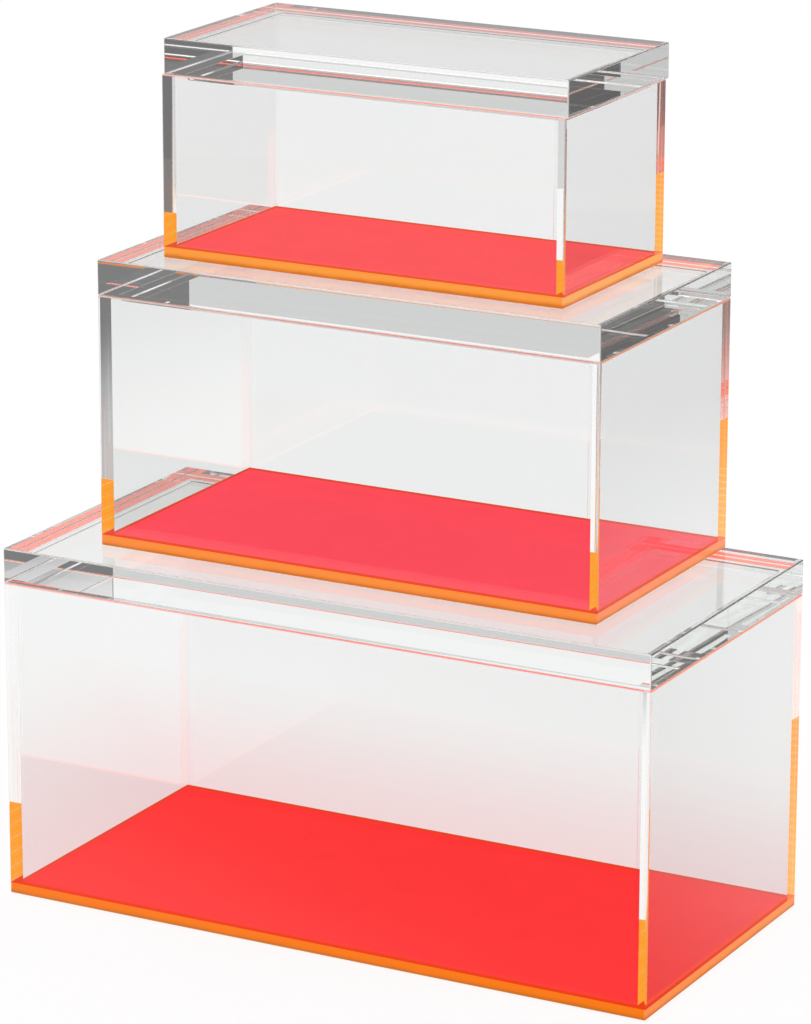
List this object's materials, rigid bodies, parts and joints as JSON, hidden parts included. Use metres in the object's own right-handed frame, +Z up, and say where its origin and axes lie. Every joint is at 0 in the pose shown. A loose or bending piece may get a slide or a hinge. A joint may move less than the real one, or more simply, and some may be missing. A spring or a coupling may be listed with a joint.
{
  "type": "set of acrylic storage boxes with lids",
  "caption": "Graded set of clear rectangular boxes with fluorescent floors and thick loose lids, stacked on each other's lids, for storing small things on show.",
  "frame": {"origin": "centre of the large box's footprint, on the surface that it stands on", "axes": "+X along the long front, to the right as seen from the front; +Y from front to back; +Z up"},
  "size_m": [0.254, 0.124, 0.3116],
  "materials": {
    "clear_wall": "polished clear acrylic sheet",
    "clear_lid": "polished clear acrylic slab and plate",
    "large_floor": "fluorescent orange-red acrylic sheet",
    "medium_floor": "fluorescent orange-red acrylic sheet",
    "small_floor": "fluorescent orange-red acrylic sheet"
  },
  "bodies": {
    "large_box": {"large_floor_plate": "large_floor", "large_front_wall": "clear_wall", "large_back_wall": "clear_wall", "large_left_wall": "clear_wall", "large_right_wall": "clear_wall"},
    "large_lid": {"large_lid": "clear_lid", "large_lid_plate": "clear_lid"},
    "medium_box": {"medium_floor_plate": "medium_floor", "medium_front_wall": "clear_wall", "medium_back_wall": "clear_wall", "medium_left_wall": "clear_wall", "medium_right_wall": "clear_wall"},
    "medium_lid": {"medium_lid": "clear_lid", "medium_lid_plate": "clear_lid"},
    "small_box": {"small_floor_plate": "small_floor", "small_front_wall": "clear_wall", "small_back_wall": "clear_wall", "small_left_wall": "clear_wall", "small_right_wall": "clear_wall"},
    "small_lid": {"small_lid": "clear_lid", "small_lid_plate": "clear_lid"}
  },
  "joints": [
    {"name": "large_lid_lift", "type": "slide", "parent": "large_box", "child": "large_lid", "axis": [0, 0, 1], "range_m": [0, 0.12]},
    {"name": "medium_box_lift", "type": "slide", "parent": "large_lid", "child": "medium_box", "axis": [0, 0, 1], "range_m": [0, 0.06]},
    {"name": "medium_lid_lift", "type": "slide", "parent": "medium_box", "child": "medium_lid", "axis": [0, 0, 1], "range_m": [0, 0.095]},
    {"name": "small_box_lift", "type": "slide", "parent": "medium_lid", "child": "small_box", "axis": [0, 0, 1], "range_m": [0, 0.06]},
    {"name": "small_lid_lift", "type": "slide", "parent": "small_box", "child": "small_lid", "axis": [0, 0, 1], "range_m": [0, 0.07]}
  ]
}
